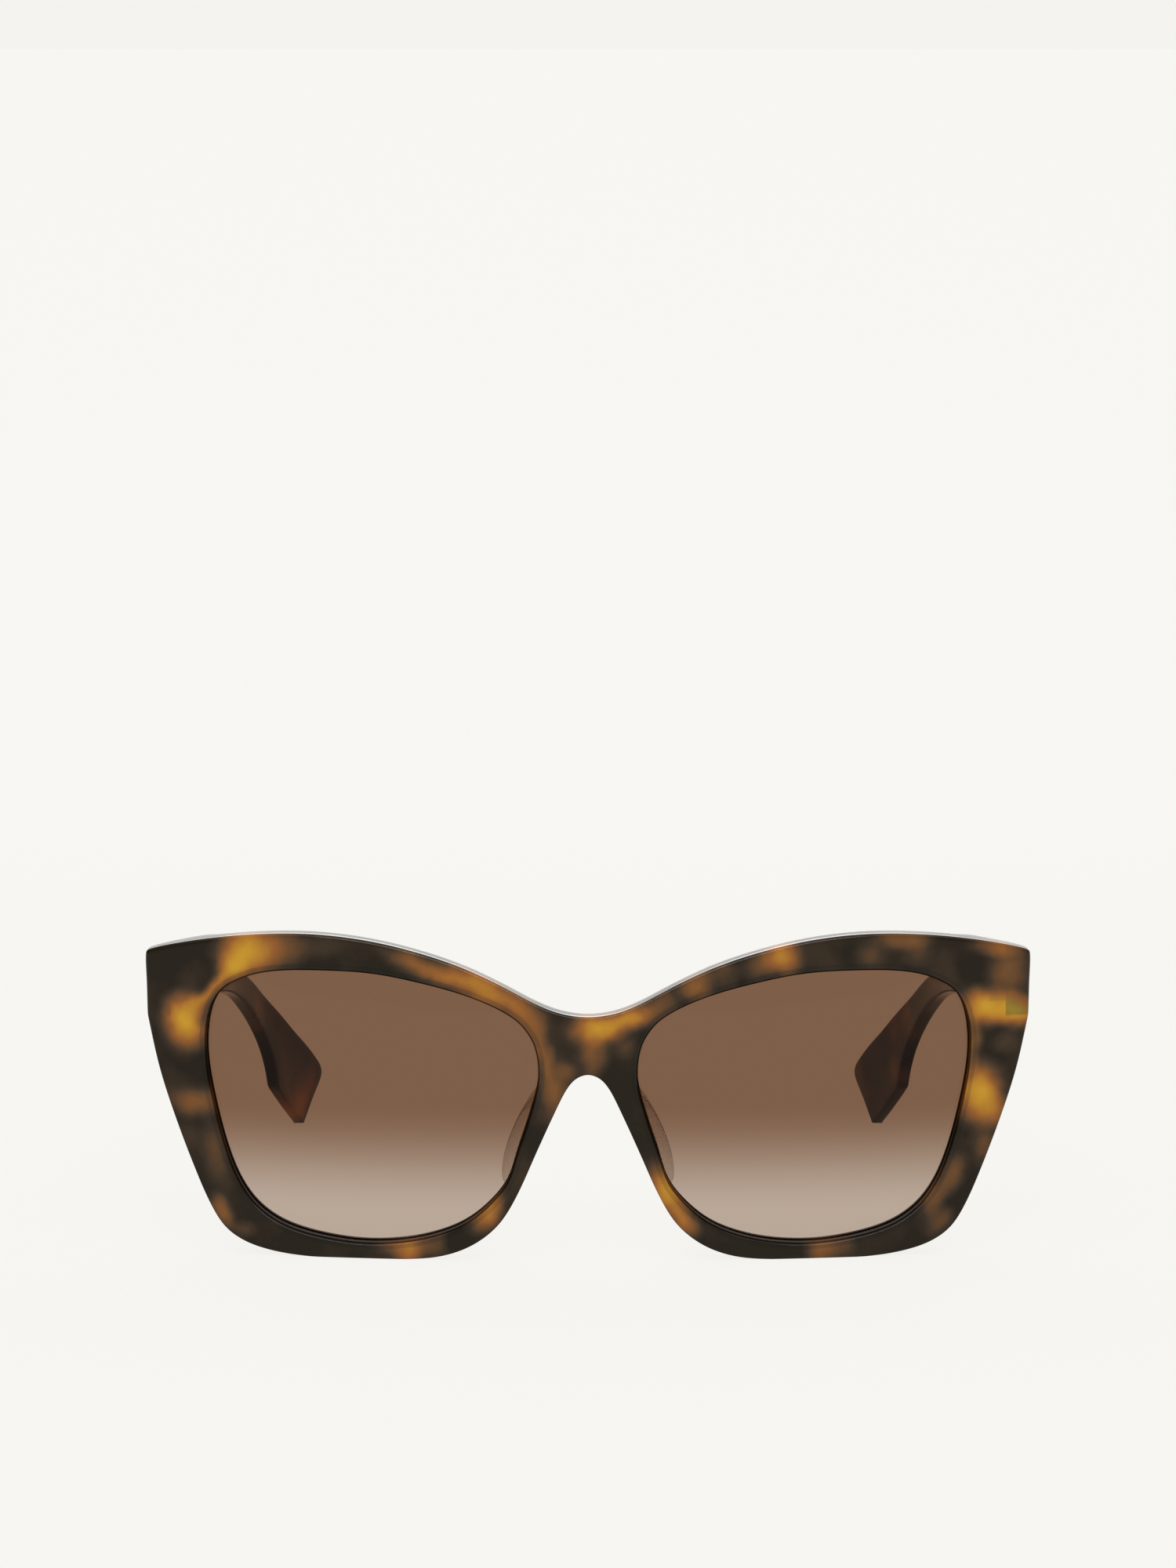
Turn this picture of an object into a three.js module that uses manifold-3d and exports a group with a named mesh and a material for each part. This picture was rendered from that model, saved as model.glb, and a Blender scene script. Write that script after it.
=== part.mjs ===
// Cat eye sunglasses in acetate: a front, two lenses, two nose pads and two folding temples.
// Millimetres, +Z up, front towards -Y. Right and left are the wearer's: right is -X, left is +X.
// Everything is drawn for the left side and mirrored. "depth" runs backwards from the front-most point.
import * as THREE from "three";
import { mergeVertices } from "three/addons/utils/BufferGeometryUtils.js";
import Module from "manifold-3d";

const wasm = await Module();
wasm.setup();

// Driving dimensions
const DEPTH = 145.5; // front-most point of the bridge to the back of the temple tips
const FRONT_RADIUS = 268; // the front is bent round a cylinder of this radius
const PLATE = 5; // thickness of the front
const SEAT = 14.2; // depth of the flat seat that the temple butts against
const SEAT_RAMP = { x: [60.5, 64.3], z: [33, 38.5] }; // where the back rises to the seat
const EDGE_ROUND = 0.6; // rounded outer edge of the front
const RIM_CHAMFER = 0.35; // softened edge of the lens opening
const GROOVE = { from: 1.9, to: 3.5, deep: 0.7 }; // lens groove, measured from the front face
const LENS = { centre: [36, 26], set: 1.7, thick: 2, bulge: 0.8, tongue: 0.4 };
const PAD = { x: 9.3, z: 20.6, slope: -0.39, splay: 0.42, half: { x: 1.5, depth: 6, z: 9 } };
const GAP = 0.3; // clearance round every lens, sunk plate and wire
const MOUTH = 2; // how far a pocket's cut runs past the face that it opens to
const BUTT_GAP = 0.15; // between the seat and the temple
const AXIS = { x: 67.4, depth: 16.6 }; // hinge axis, vertical
const BARREL = { low: 42.2, slot: 1.24, play: 0.06, radius: 1.5, bore: 0.72 };
const TEMPLE = { inner: 69.5, thick: 3.8, thin: 0.0115, toe: 0.045, bendFrom: 88, bend: 0.003, round: 0.7 };
const SCREW = { radius: 0.6, head: 1.25, headTall: 0.6, slotWide: 0.3, slotDeep: 0.25 };
const WIRE = { wide: 1, tall: 1.8, from: 15.2, to: 119 };
const STACK_TOP = BARREL.low + 5 * BARREL.slot; // five knuckles
// The sunk hinge plates, as corners (x, depth, z)
const FRONT_PLATE = { low: [64.9, SEAT - 1.3, 41.9], high: [69, SEAT - 0.1, 48.7] };
const TEMPLE_PLATE = { low: [69, 16.2, 42.4], high: [70.2, 25, 47.1] };
const STEPS = 2; // stations between two neighbouring outline points

// Half of the front as pairs of points (x, z): one on the outer edge, its partner on the lens opening.
// They run from the top of the bridge round the end piece and the lower rim to the bottom of the bridge.
const EDGE_PAIRS = [
  [[0, 40.3], [9.65, 37.2]],
  [[4.5, 40.9], [10.6, 38.5]],
  [[8.6, 42.5], [12, 39.85]],
  [[14, 45.35], [15.3, 41.8]],
  [[20.5, 48.2], [20.8, 43.95]],
  [[28, 50.55], [27.5, 45.7]],
  [[36, 52.4], [35.5, 47.2]],
  [[45, 53.55], [44.5, 47.55]],
  [[54, 53.4], [51.5, 47.3]],
  [[62.5, 52.5], [56.2, 46.3]],
  [[69.2, 51.3], [59.2, 44.85]],
  [[72.35, 50.5], [60.2, 44.1]],
  [[73.25, 49.6], [60.9, 43.35]],
  [[73.15, 45], [62.15, 41.2]],
  [[72.98, 40.6], [62.95, 38]],
  [[72.6, 38.2], [63.15, 35.6]],
  [[71.05, 30.6], [62.9, 31.3]],
  [[68.25, 22.1], [61.75, 25]],
  [[65.25, 14.3], [59.9, 17.9]],
  [[62.5, 8.5], [57.8, 12.7]],
  [[60, 4.7], [55.2, 9]],
  [[56.8, 2.45], [51.9, 6.4]],
  [[52, 1.05], [48, 4.75]],
  [[45.5, 0], [42.5, 3.5]],
  [[38, 0], [36.5, 2.9]],
  [[30, 0], [30, 3.3]],
  [[24, 0.85], [24.5, 4.55]],
  [[18.9, 2.8], [20, 6.5]],
  [[14.75, 6.25], [16.2, 9.5]],
  [[11.7, 11.2], [13.2, 13.2]],
  [[8.6, 17.6], [11.6, 18.1]],
  [[5.6, 24.2], [10, 22.8]],
  [[3.45, 28.5], [8.75, 27]],
  [[1.9, 30.2], [8.2, 29.8]],
  [[0, 30.85], [8.15, 31.9]],
];
// Partners of the stations on the centre plane, from the bottom of the bridge up to its top.
const BRIDGE_PAIRS = [
  [[0, 33.2], [8.35, 33.7]],
  [[0, 35.6], [8.75, 35.3]],
  [[0, 38], [9.15, 36.3]],
];

// Temple seen from the side as pairs of points (depth, z): upper edge, lower edge, from butt to tip.
const TEMPLE_PAIRS = [
  [[SEAT + BUTT_GAP, 50.2], [SEAT + BUTT_GAP, 39.8]],
  [[30, 47.75], [30, 38.6]],
  [[52, 44.35], [52, 36.6]],
  [[74, 40.9], [72, 34.8]],
  [[90.8, 37.5], [88, 32.8]],
  [[101.4, 35], [98.5, 30.6]],
  [[109.5, 32.1], [105, 28.1]],
  [[117.5, 28.1], [111, 24.9]],
  [[124.5, 24], [116.1, 21.2]],
  [[131.5, 19.4], [119.9, 17.2]],
  [[138, 14.9], [122.6, 12.9]],
  [[143.6, 11], [123.6, 10.7]],
  [[145.5, 9.5], [124.1, 9.6]],
  [[145.1, 8.4], [125, 8.8]],
  [[142.3, 4.6], [131, 4.6]],
  [[139.9, 0.9], [137, 0.7]],
  [[139.2, 0], [138.1, 0]],
];

// Surfaces of the bent front
const frontDepth = (x) => (x * x) / (2 * FRONT_RADIUS);
const step = (v, from, to) => THREE.MathUtils.smoothstep(v, from, to);

// The back follows the front face, and is milled flat where the temple meets it.
function backDepth(x, z) {
  const seat = step(x, ...SEAT_RAMP.x) * step(z, ...SEAT_RAMP.z);
  return THREE.MathUtils.lerp(frontDepth(x) + PLATE, SEAT, seat);
}

// Inner face and thickness of the temple at a depth
const templeInner = (d) =>
  TEMPLE.inner - TEMPLE.toe * (d - SEAT) - TEMPLE.bend * Math.max(0, d - TEMPLE.bendFrom) ** 2;
const templeThickness = (d) => TEMPLE.thick - TEMPLE.thin * (d - SEAT);

// A smooth curve through points (a, b), with `steps` samples from each point to the next.
function throughPoints(points, steps, closed) {
  const curve = new THREE.CatmullRomCurve3(
    points.map(([a, b]) => new THREE.Vector3(a, b, 0)), closed, "centripetal");
  const spans = closed ? points.length : points.length - 1;
  const samples = [];
  for (let i = 0; i < spans * steps + (closed ? 0 : 1); i++) {
    const p = curve.getPoint(i / (spans * steps));
    samples.push([p.x, p.y]);
  }
  return samples;
}

// The outer edge of the half front. A mirrored neighbour at each end keeps it level at the centre plane.
// Its lowest stretch is flat, for the front to stand on.
function outerEdge() {
  const points = EDGE_PAIRS.map(([outer]) => outer);
  const mirrored = (p) => [-p[0], p[1]];
  const whole = throughPoints([mirrored(points[1]), ...points, mirrored(points.at(-2))], STEPS, false);
  const edge = whole.slice(STEPS, whole.length - STEPS).map(([x, z]) => [x, Math.max(0, z)]);
  edge[0][0] = 0;
  edge.at(-1)[0] = 0;
  return edge;
}

const opening = throughPoints([...EDGE_PAIRS, ...BRIDGE_PAIRS].map(([, inner]) => inner), STEPS, true);

// Moves each point of an outline sideways: positive is to the left of its direction.
function offset(outline, distance, closed) {
  const last = outline.length - 1;
  return outline.map((p, i) => {
    const a = outline[i > 0 ? i - 1 : closed ? last : 0];
    const b = outline[i < last ? i + 1 : closed ? 0 : last];
    const ends = !closed && (i === 0 || i === last);
    const along = ends ? [i === 0 ? 1 : -1, 0] : [b[0] - a[0], b[1] - a[1]];
    const length = Math.hypot(...along);
    return [p[0] - (along[1] / length) * distance, p[1] + (along[0] / length) * distance];
  });
}

// Collects triangles between rows of points
class Skin {
  constructor() {
    this.positions = [];
  }
  triangle(a, b, c) {
    this.positions.push(...a, ...b, ...c);
  }
  // Quads between two rows of equal length
  band(rowA, rowB, closed) {
    const count = rowA.length;
    for (let i = 0; i < (closed ? count : count - 1); i++) {
      const j = (i + 1) % count;
      this.triangle(rowA[i], rowB[i], rowB[j]);
      this.triangle(rowA[i], rowB[j], rowA[j]);
    }
  }
  bands(rows, closed) {
    for (let i = 1; i < rows.length; i++) this.band(rows[i - 1], rows[i], closed);
  }
  // Closes the first ring of a row of bands with a fan from its middle
  closeFirst(ring, middle) {
    ring.forEach((p, i) => this.triangle(middle, p, ring[(i + 1) % ring.length]));
  }
  closeLast(ring, middle) {
    ring.forEach((p, i) => this.triangle(middle, ring[(i + 1) % ring.length], p));
  }
  // Adds the mirror image across the centre plane
  mirror() {
    const p = this.positions;
    for (let i = p.length - 9; i >= 0; i -= 9)
      for (const k of [0, 6, 3]) p.push(-p[i + k], p[i + k + 1], p[i + k + 2]);
  }
  geometry() {
    const g = new THREE.BufferGeometry();
    g.setAttribute("position", new THREE.Float32BufferAttribute(this.positions, 3));
    return merged(g);
  }
}

function merged(geometry) {
  const g = geometry.clone();
  g.deleteAttribute("normal");
  g.deleteAttribute("uv");
  return mergeVertices(g, 1e-4);
}

// Joins and cuts
function solid(geometry) {
  const g = merged(geometry);
  return new wasm.Manifold(new wasm.Mesh({
    numProp: 3,
    vertProperties: new Float32Array(g.attributes.position.array),
    triVerts: new Uint32Array(g.index.array),
  }));
}

function geometryOf(manifold) {
  const { vertProperties, triVerts } = manifold.getMesh();
  const g = new THREE.BufferGeometry();
  g.setAttribute("position", new THREE.BufferAttribute(vertProperties, 3));
  g.setIndex(new THREE.BufferAttribute(triVerts, 1));
  return g;
}

function combine(base, joined, cut) {
  let result = solid(base);
  for (const g of joined) result = result.add(solid(g));
  for (const g of cut) result = result.subtract(solid(g));
  return geometryOf(result);
}

// Simple shapes in the frame (x, depth, z)
const boxBetween = (low, high) =>
  new THREE.BoxGeometry(...low.map((v, i) => high[i] - v))
    .translate(...low.map((v, i) => (v + high[i]) / 2));

const uprightCylinder = (radius, low, high, sides) =>
  new THREE.CylinderGeometry(radius, radius, high - low, sides)
    .rotateX(Math.PI / 2)
    .translate(AXIS.x, AXIS.depth, (low + high) / 2);

// A skin over rings of points, closed at both ends. The rings turn clockwise as seen from the first end.
function loft(rings) {
  const skin = new Skin();
  const middle = (ring) => [0, 1, 2].map((k) => ring.reduce((sum, p) => sum + p[k], 0) / ring.length);
  skin.bands(rings, true);
  skin.closeFirst(rings[0], middle(rings[0]));
  skin.closeLast(rings.at(-1), middle(rings.at(-1)));
  return skin.geometry();
}

// The front: bands across each rim, a grooved lens opening, and a rounded outer edge
function frontShell() {
  const skin = new Skin();
  const outer = outerEdge();
  const inRow = (outline, depthAt) => outline.map(([x, z]) => [x, depthAt(x, z), z]);
  const face = (x) => frontDepth(x);

  const inset = offset(outer, -EDGE_ROUND, false);
  const bridge = throughPoints(
    [[0, inset.at(-1)[1]], ...BRIDGE_PAIRS.map(([p]) => p), [0, inset[0][1]]], STEPS, false);
  const rounded = [...inset, ...bridge.slice(1, -1)];
  const lip = offset(opening, RIM_CHAMFER, true);
  const across = [0, 1, 2, 3].map((k) =>
    rounded.map((p, i) => p.map((v, c) => THREE.MathUtils.lerp(v, lip[i][c], k / 3))));
  skin.bands(across.map((row) => inRow(row, face)), true);
  skin.bands(across.map((row) => inRow(row, backDepth)).reverse(), true);

  const grooved = offset(opening, GROOVE.deep, true);
  skin.bands([
    inRow(lip, face),
    inRow(opening, (x) => face(x) + RIM_CHAMFER),
    inRow(opening, (x) => face(x) + GROOVE.from),
    inRow(grooved, (x) => face(x) + GROOVE.from),
    inRow(grooved, (x) => face(x) + GROOVE.to),
    inRow(opening, (x) => face(x) + GROOVE.to),
    inRow(opening, (x, z) => backDepth(x, z) - RIM_CHAMFER),
    inRow(lip, backDepth),
  ], true);

  const turns = [0, 1, 2].map((k) => (k * Math.PI) / 4);
  const roundRow = (turn, depthAt) => {
    const row = offset(outer, -EDGE_ROUND * (1 - Math.sin(turn)), false);
    return inRow(row, (x, z) => depthAt(x, z, EDGE_ROUND * (1 - Math.cos(turn))));
  };
  const frontRows = turns.map((turn) => roundRow(turn, (x, z, drop) => face(x) + drop));
  const backRows = turns.map((turn) => roundRow(turn, (x, z, drop) => backDepth(x, z) - drop));
  skin.bands([...frontRows, ...backRows.reverse()].reverse(), false);

  skin.mirror();
  return skin.geometry();
}

// A lens: front and back dished surfaces, and a tongue round the edge that sits in the groove
function lens() {
  const skin = new Skin();
  const edge = offset(opening, -GAP, true);
  const tongue = offset(opening, LENS.tongue, true);
  const surface = (share, back) =>
    edge.map((p) => {
      const [x, z] = p.map((v, c) => THREE.MathUtils.lerp(LENS.centre[c], v, share));
      const depth = frontDepth(x) + LENS.set - LENS.bulge * (1 - share * share);
      return [x, depth + (back ? LENS.thick : 0), z];
    });
  const at = (outline, depth) => outline.map(([x, z]) => [x, frontDepth(x) + depth, z]);
  const shares = [0.45, 0.8, 1];
  const low = GROOVE.from + GAP;
  const high = GROOVE.to - GAP;
  const rows = [
    ...shares.map((share) => surface(share, true)),
    at(edge, high), at(tongue, high), at(tongue, low), at(edge, low),
    ...shares.map((share) => surface(share, false)).reverse(),
  ];
  const middle = (back) => {
    const [x, z] = LENS.centre;
    return [x, frontDepth(x) + LENS.set - LENS.bulge + (back ? LENS.thick : 0), z];
  };
  skin.bands(rows, true);
  skin.closeFirst(rows[0], middle(true));
  skin.closeLast(rows.at(-1), middle(false));
  return skin.geometry();
}

// A nose pad: half an ellipsoid on the back of the nasal rim, leaning out towards the lens
function nosePad() {
  const g = new THREE.SphereGeometry(1, 20, 14).rotateX(Math.PI / 2);
  const p = g.attributes.position;
  for (let i = 0; i < p.count; i++) {
    const out = Math.max(0, p.getY(i)) * PAD.half.depth;
    const up = p.getZ(i) * PAD.half.z;
    const x = PAD.x + PAD.slope * up + p.getX(i) * PAD.half.x + PAD.splay * out;
    const z = PAD.z + up;
    p.setXYZ(i, x, backDepth(x, z) + BUTT_GAP + out, z);
  }
  return g;
}

// Cross-section of the temple on the line between an upper and a lower edge point
function templeRing(upper, lower) {
  const span = Math.hypot(upper[0] - lower[0], upper[1] - lower[1]);
  const round = Math.min(TEMPLE.round, span * 0.4);
  const at = (share, inset, outerSide) => {
    const d = THREE.MathUtils.lerp(lower[0], upper[0], share);
    const z = THREE.MathUtils.lerp(lower[1], upper[1], share);
    const x = outerSide ? templeInner(d) + templeThickness(d) - inset : templeInner(d) + inset;
    return [x, d, z];
  };
  const near = round / span;
  const soft = 0.3 * near;
  const insetOf = 0.3 * round;
  const shares = [0, 1, 2, 3].map((k) => near + ((1 - 2 * near) * k) / 3);
  return [
    at(0, round, false), at(soft, insetOf, false),
    ...shares.map((s) => at(s, 0, false)),
    at(1 - soft, insetOf, false), at(1, round, false),
    at(1, round, true), at(1 - soft, insetOf, true),
    ...shares.map((s) => at(s, 0, true)).reverse(),
    at(soft, insetOf, true), at(0, round, true),
  ];
}

function templeBar() {
  const upper = throughPoints(TEMPLE_PAIRS.map(([u]) => u), STEPS, false);
  const lower = throughPoints(TEMPLE_PAIRS.map(([, l]) => l), STEPS, false);
  return loft(upper.map((p, i) => templeRing(p, lower[i]).reverse()));
}

// The core wire runs along the middle of the temple. `grow` widens it into the channel that holds it,
// which opens at the butt.
function coreWire(grow) {
  const middles = TEMPLE_PAIRS.map(([u, l]) => [(u[0] + l[0]) / 2, (u[1] + l[1]) / 2]);
  const path = middles.filter(([d]) => d < WIRE.to);
  path[0][0] = WIRE.from - (grow ? MOUTH : 0);
  const wide = WIRE.wide / 2 + grow;
  const tall = WIRE.tall / 2 + grow;
  const rings = path.map(([d, z]) => {
    const x = templeInner(d) + templeThickness(d) / 2;
    return [[-wide, -tall], [wide, -tall], [wide, tall], [-wide, tall]].map(([a, b]) => [x + a, d, z + b]);
  });
  rings.at(-1).forEach((p) => (p[1] += grow));
  return loft(rings);
}

// One knuckle: a round eye on the axis, and a neck that joins it to its plate
function knuckle(slot, neck) {
  const low = BARREL.low + slot * BARREL.slot + BARREL.play;
  const high = low + BARREL.slot - 2 * BARREL.play;
  const eye = uprightCylinder(BARREL.radius, low, high, 24);
  return [eye, boxBetween([...neck.low, low], [...neck.high, high])];
}

// Half a hinge: a sunk plate and its knuckles. Slots count upwards from the bottom of the stack.
function hingeHalf(plate, slots, neck) {
  const bore = uprightCylinder(BARREL.bore, BARREL.low - 1, STACK_TOP + 1, 20);
  return combine(boxBetween(plate.low, plate.high), slots.flatMap((slot) => knuckle(slot, neck)), [bore]);
}

const frontHinge = () =>
  hingeHalf(FRONT_PLATE, [0, 2, 4], {
    low: [AXIS.x - BARREL.radius, FRONT_PLATE.high[1] - 0.2],
    high: [AXIS.x + BARREL.radius, AXIS.depth],
  });

const templeHinge = () =>
  hingeHalf(TEMPLE_PLATE, [1, 3], {
    low: [AXIS.x, AXIS.depth - 0.4],
    high: [TEMPLE_PLATE.low[0] + 0.2, AXIS.depth + BARREL.radius],
  });

// The hinge screw, put in from above, with a slotted head
function hingeScrew() {
  const headLow = STACK_TOP + BARREL.play;
  const headHigh = headLow + SCREW.headTall;
  const shank = uprightCylinder(SCREW.radius, BARREL.low + BARREL.play, headLow + 0.2, 16);
  const head = uprightCylinder(SCREW.head, headLow, headHigh, 20);
  const slot = boxBetween(
    [AXIS.x - 2 * SCREW.head, AXIS.depth - SCREW.slotWide / 2, headHigh - SCREW.slotDeep],
    [AXIS.x + 2 * SCREW.head, AXIS.depth + SCREW.slotWide / 2, headHigh + 1]);
  return combine(shank, [head], [slot]);
}

// The pocket milled for a sunk plate, open on one side: `open` holds -1 or 1 on the axis it opens along.
const pocket = (plate, open) =>
  boxBetween(
    plate.low.map((v, i) => v - (open[i] < 0 ? MOUTH : GAP)),
    plate.high.map((v, i) => v + (open[i] > 0 ? MOUTH : GAP)));

function frontFrame() {
  const left = pocket(FRONT_PLATE, [0, 1, 0]);
  const right = left.clone().translate(-FRONT_PLATE.low[0] - FRONT_PLATE.high[0], 0, 0);
  return combine(frontShell(), [], [left, right]);
}

const temple = () => combine(templeBar(), [], [pocket(TEMPLE_PLATE, [-1, 0, 0]), coreWire(GAP)]);

// Materials
const finish = (color, roughness, metalness, opacity = 1) =>
  new THREE.MeshStandardMaterial({ color, roughness, metalness, opacity, transparent: opacity < 1 });
const tortoise = () => finish(0x4a3420, 0.18, 0);
const tint = () => finish(0x82624c, 0.05, 0, 0.7);
const steel = () => finish(0xb9b6ae, 0.3, 1);

// Assembly
const group = new THREE.Group();
group.name = "cat_eye_sunglasses";
const placed = new THREE.Group();
placed.position.y = -DEPTH / 2;
group.add(placed);

function addMesh(parent, name, geometry, material) {
  const mesh = new THREE.Mesh(geometry, material);
  mesh.name = name;
  parent.add(mesh);
}

addMesh(placed, "front_frame", frontFrame(), tortoise());
for (const [side, sign] of [["right", -1], ["left", 1]]) {
  const half = new THREE.Group();
  half.scale.x = sign;
  placed.add(half);
  addMesh(half, `lens_${side}`, lens(), tint());
  addMesh(half, `nose_pad_${side}`, nosePad(), tortoise());
  addMesh(half, `front_hinge_${side}`, frontHinge(), steel());
  addMesh(half, `hinge_screw_${side}`, hingeScrew(), steel());
  addMesh(half, `temple_${side}`, temple(), tortoise());
  addMesh(half, `temple_hinge_${side}`, templeHinge(), steel());
  addMesh(half, `core_wire_${side}`, coreWire(0), steel());
}

export default group;
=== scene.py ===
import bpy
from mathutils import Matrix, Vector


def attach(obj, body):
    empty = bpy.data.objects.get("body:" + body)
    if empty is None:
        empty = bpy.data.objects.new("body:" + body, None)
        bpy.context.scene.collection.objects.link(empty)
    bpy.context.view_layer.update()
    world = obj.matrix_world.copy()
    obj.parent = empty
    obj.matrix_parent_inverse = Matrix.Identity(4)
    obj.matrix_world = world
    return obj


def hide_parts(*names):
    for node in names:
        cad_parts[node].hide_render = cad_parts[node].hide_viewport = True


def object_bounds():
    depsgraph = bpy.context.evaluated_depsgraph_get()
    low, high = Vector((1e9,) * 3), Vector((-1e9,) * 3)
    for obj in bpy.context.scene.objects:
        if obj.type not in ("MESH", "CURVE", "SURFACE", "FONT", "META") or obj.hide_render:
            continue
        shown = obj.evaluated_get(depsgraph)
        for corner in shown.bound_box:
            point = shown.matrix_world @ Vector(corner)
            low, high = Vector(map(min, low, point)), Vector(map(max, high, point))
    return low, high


bl_info = {
    "name": "Cat Eye Sunglasses",
    "version": (1, 0, 0),
    "blender": (4, 5, 0),
    "location": "3D View > Sidebar > Sunglasses",
    "description": "Acetate cat eye sunglasses with gradient lenses and folding temples",
    "category": "Add Mesh",
}

import math

import bmesh
import bpy
import numpy as np
from bpy.props import FloatProperty, FloatVectorProperty, PointerProperty
from mathutils import Vector

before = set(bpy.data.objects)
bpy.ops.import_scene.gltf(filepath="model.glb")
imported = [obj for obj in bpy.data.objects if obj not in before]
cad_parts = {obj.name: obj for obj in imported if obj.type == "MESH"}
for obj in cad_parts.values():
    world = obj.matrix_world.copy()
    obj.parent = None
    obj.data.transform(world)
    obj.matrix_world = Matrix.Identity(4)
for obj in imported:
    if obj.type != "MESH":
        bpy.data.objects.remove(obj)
CAD_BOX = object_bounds()

# All shapes are worked out in millimetres as (x, depth, z), for the wearer's left side at +x.
# Depth runs backwards from the front-most point of the bridge.
MM = 0.001
FRONT_PLANE = CAD_BOX[0][1] / MM
SIDES = (("right", -1), ("left", 1))

FRONT_RADIUS = 268.0  # of the front's curve, seen from above
SEAT = 14.2  # depth of the flat seat that each temple closes against
SEAT_RAMP = ((60.5, 64.3), (33.0, 38.5))  # where the back rises to the seat, along x and z
RIM_GROOVE = (1.9, 3.5, 0.7)  # from and to behind the front face, and how deep
AXIS = (67.4, 16.6)  # of the hinge, as (x, depth)
STACK_LOW, SLOT, PLAY = 42.2, 1.24, 0.035  # foot of the five barrels, height of each and its play
BUTT = SEAT + 0.05
LENS_CENTRE = (36.0, 26.0)

# Half of the front: a point on the outer edge and its partner on the lens opening, from the top of the
# bridge round the end piece and the lower rim to the bottom of the bridge.
EDGE_PAIRS = (
    ((0, 40.3), (9.65, 37.2)),
    ((4.5, 40.9), (10.6, 38.5)),
    ((8.6, 42.5), (12, 39.85)),
    ((14, 45.35), (15.3, 41.8)),
    ((20.5, 48.35), (20.8, 43.95)),
    ((28, 50.8), (27.5, 45.7)),
    ((36, 52.6), (35.5, 47.2)),
    ((45, 53.55), (44.5, 47.55)),
    ((54, 53.4), (51.5, 47.3)),
    ((62.5, 52.5), (56.2, 46.3)),
    ((69.2, 51.3), (59.2, 44.85)),
    ((72.35, 50.5), (60.2, 44.1)),
    ((73.0, 50.2), (60.55, 43.75)),
    ((73.27, 49.6), (60.9, 43.35)),
    ((73.15, 45), (62.15, 41.2)),
    ((73.06, 40.8), (62.92, 38.2)),
    ((73.0, 39.4), (63.04, 36.9)),
    ((72.78, 38.3), (63.12, 35.9)),
    ((71.05, 30.6), (62.9, 31.3)),
    ((68.25, 22.1), (61.75, 25)),
    ((65.25, 14.3), (59.9, 17.9)),
    ((62.65, 8.4), (57.8, 12.6)),
    ((60.15, 4.5), (55.2, 8.8)),
    ((56.8, 2.2), (51.9, 6.15)),
    ((52, 0.75), (48, 4.45)),
    ((45.5, 0), (42.5, 3.2)),
    ((38, 0), (36.5, 2.6)),
    ((30, 0), (30, 3)),
    ((24, 0.6), (24.5, 4.25)),
    ((18.9, 2.5), (20, 6.2)),
    ((14.6, 5.95), (16.2, 9.25)),
    ((11.55, 10.95), (13.2, 13.05)),
    ((8.6, 17.6), (11.6, 18.1)),
    ((5.6, 24.2), (10, 22.8)),
    ((3.45, 28.5), (8.75, 27)),
    ((1.9, 30.2), (8.2, 29.8)),
    ((0, 30.85), (8.15, 31.9)),
)
BRIDGE_PAIRS = (
    ((0, 33.2), (8.35, 33.7)),
    ((0, 35.6), (8.75, 35.3)),
    ((0, 38), (9.15, 36.3)),
)
# Temple from the side: upper and lower edge as (depth, z), from butt to tip
TEMPLE_PAIRS = (
    ((BUTT, 50.2), (BUTT, 39.8)),
    ((30, 47.75), (30, 38.6)),
    ((52, 44.35), (52, 36.6)),
    ((74, 40.9), (72, 34.8)),
    ((90.8, 37.5), (88, 32.8)),
    ((101.4, 35), (98.5, 30.6)),
    ((109.5, 32.1), (105, 28.1)),
    ((117.5, 28.1), (111, 24.9)),
    ((124.5, 24), (116.1, 21.2)),
    ((131.5, 19.4), (119.9, 17.2)),
    ((138.4, 15.2), (122.6, 12.9)),
    ((142.9, 12.1), (123.6, 10.7)),
    ((144.9, 10.3), (124.1, 9.6)),
    ((145.4, 8.6), (125, 8.8)),
    ((142.4, 4.4), (131, 4.6)),
    ((139.9, 0.9), (137, 0.7)),
    ((139.2, 0), (138.1, 0)),
)

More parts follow.
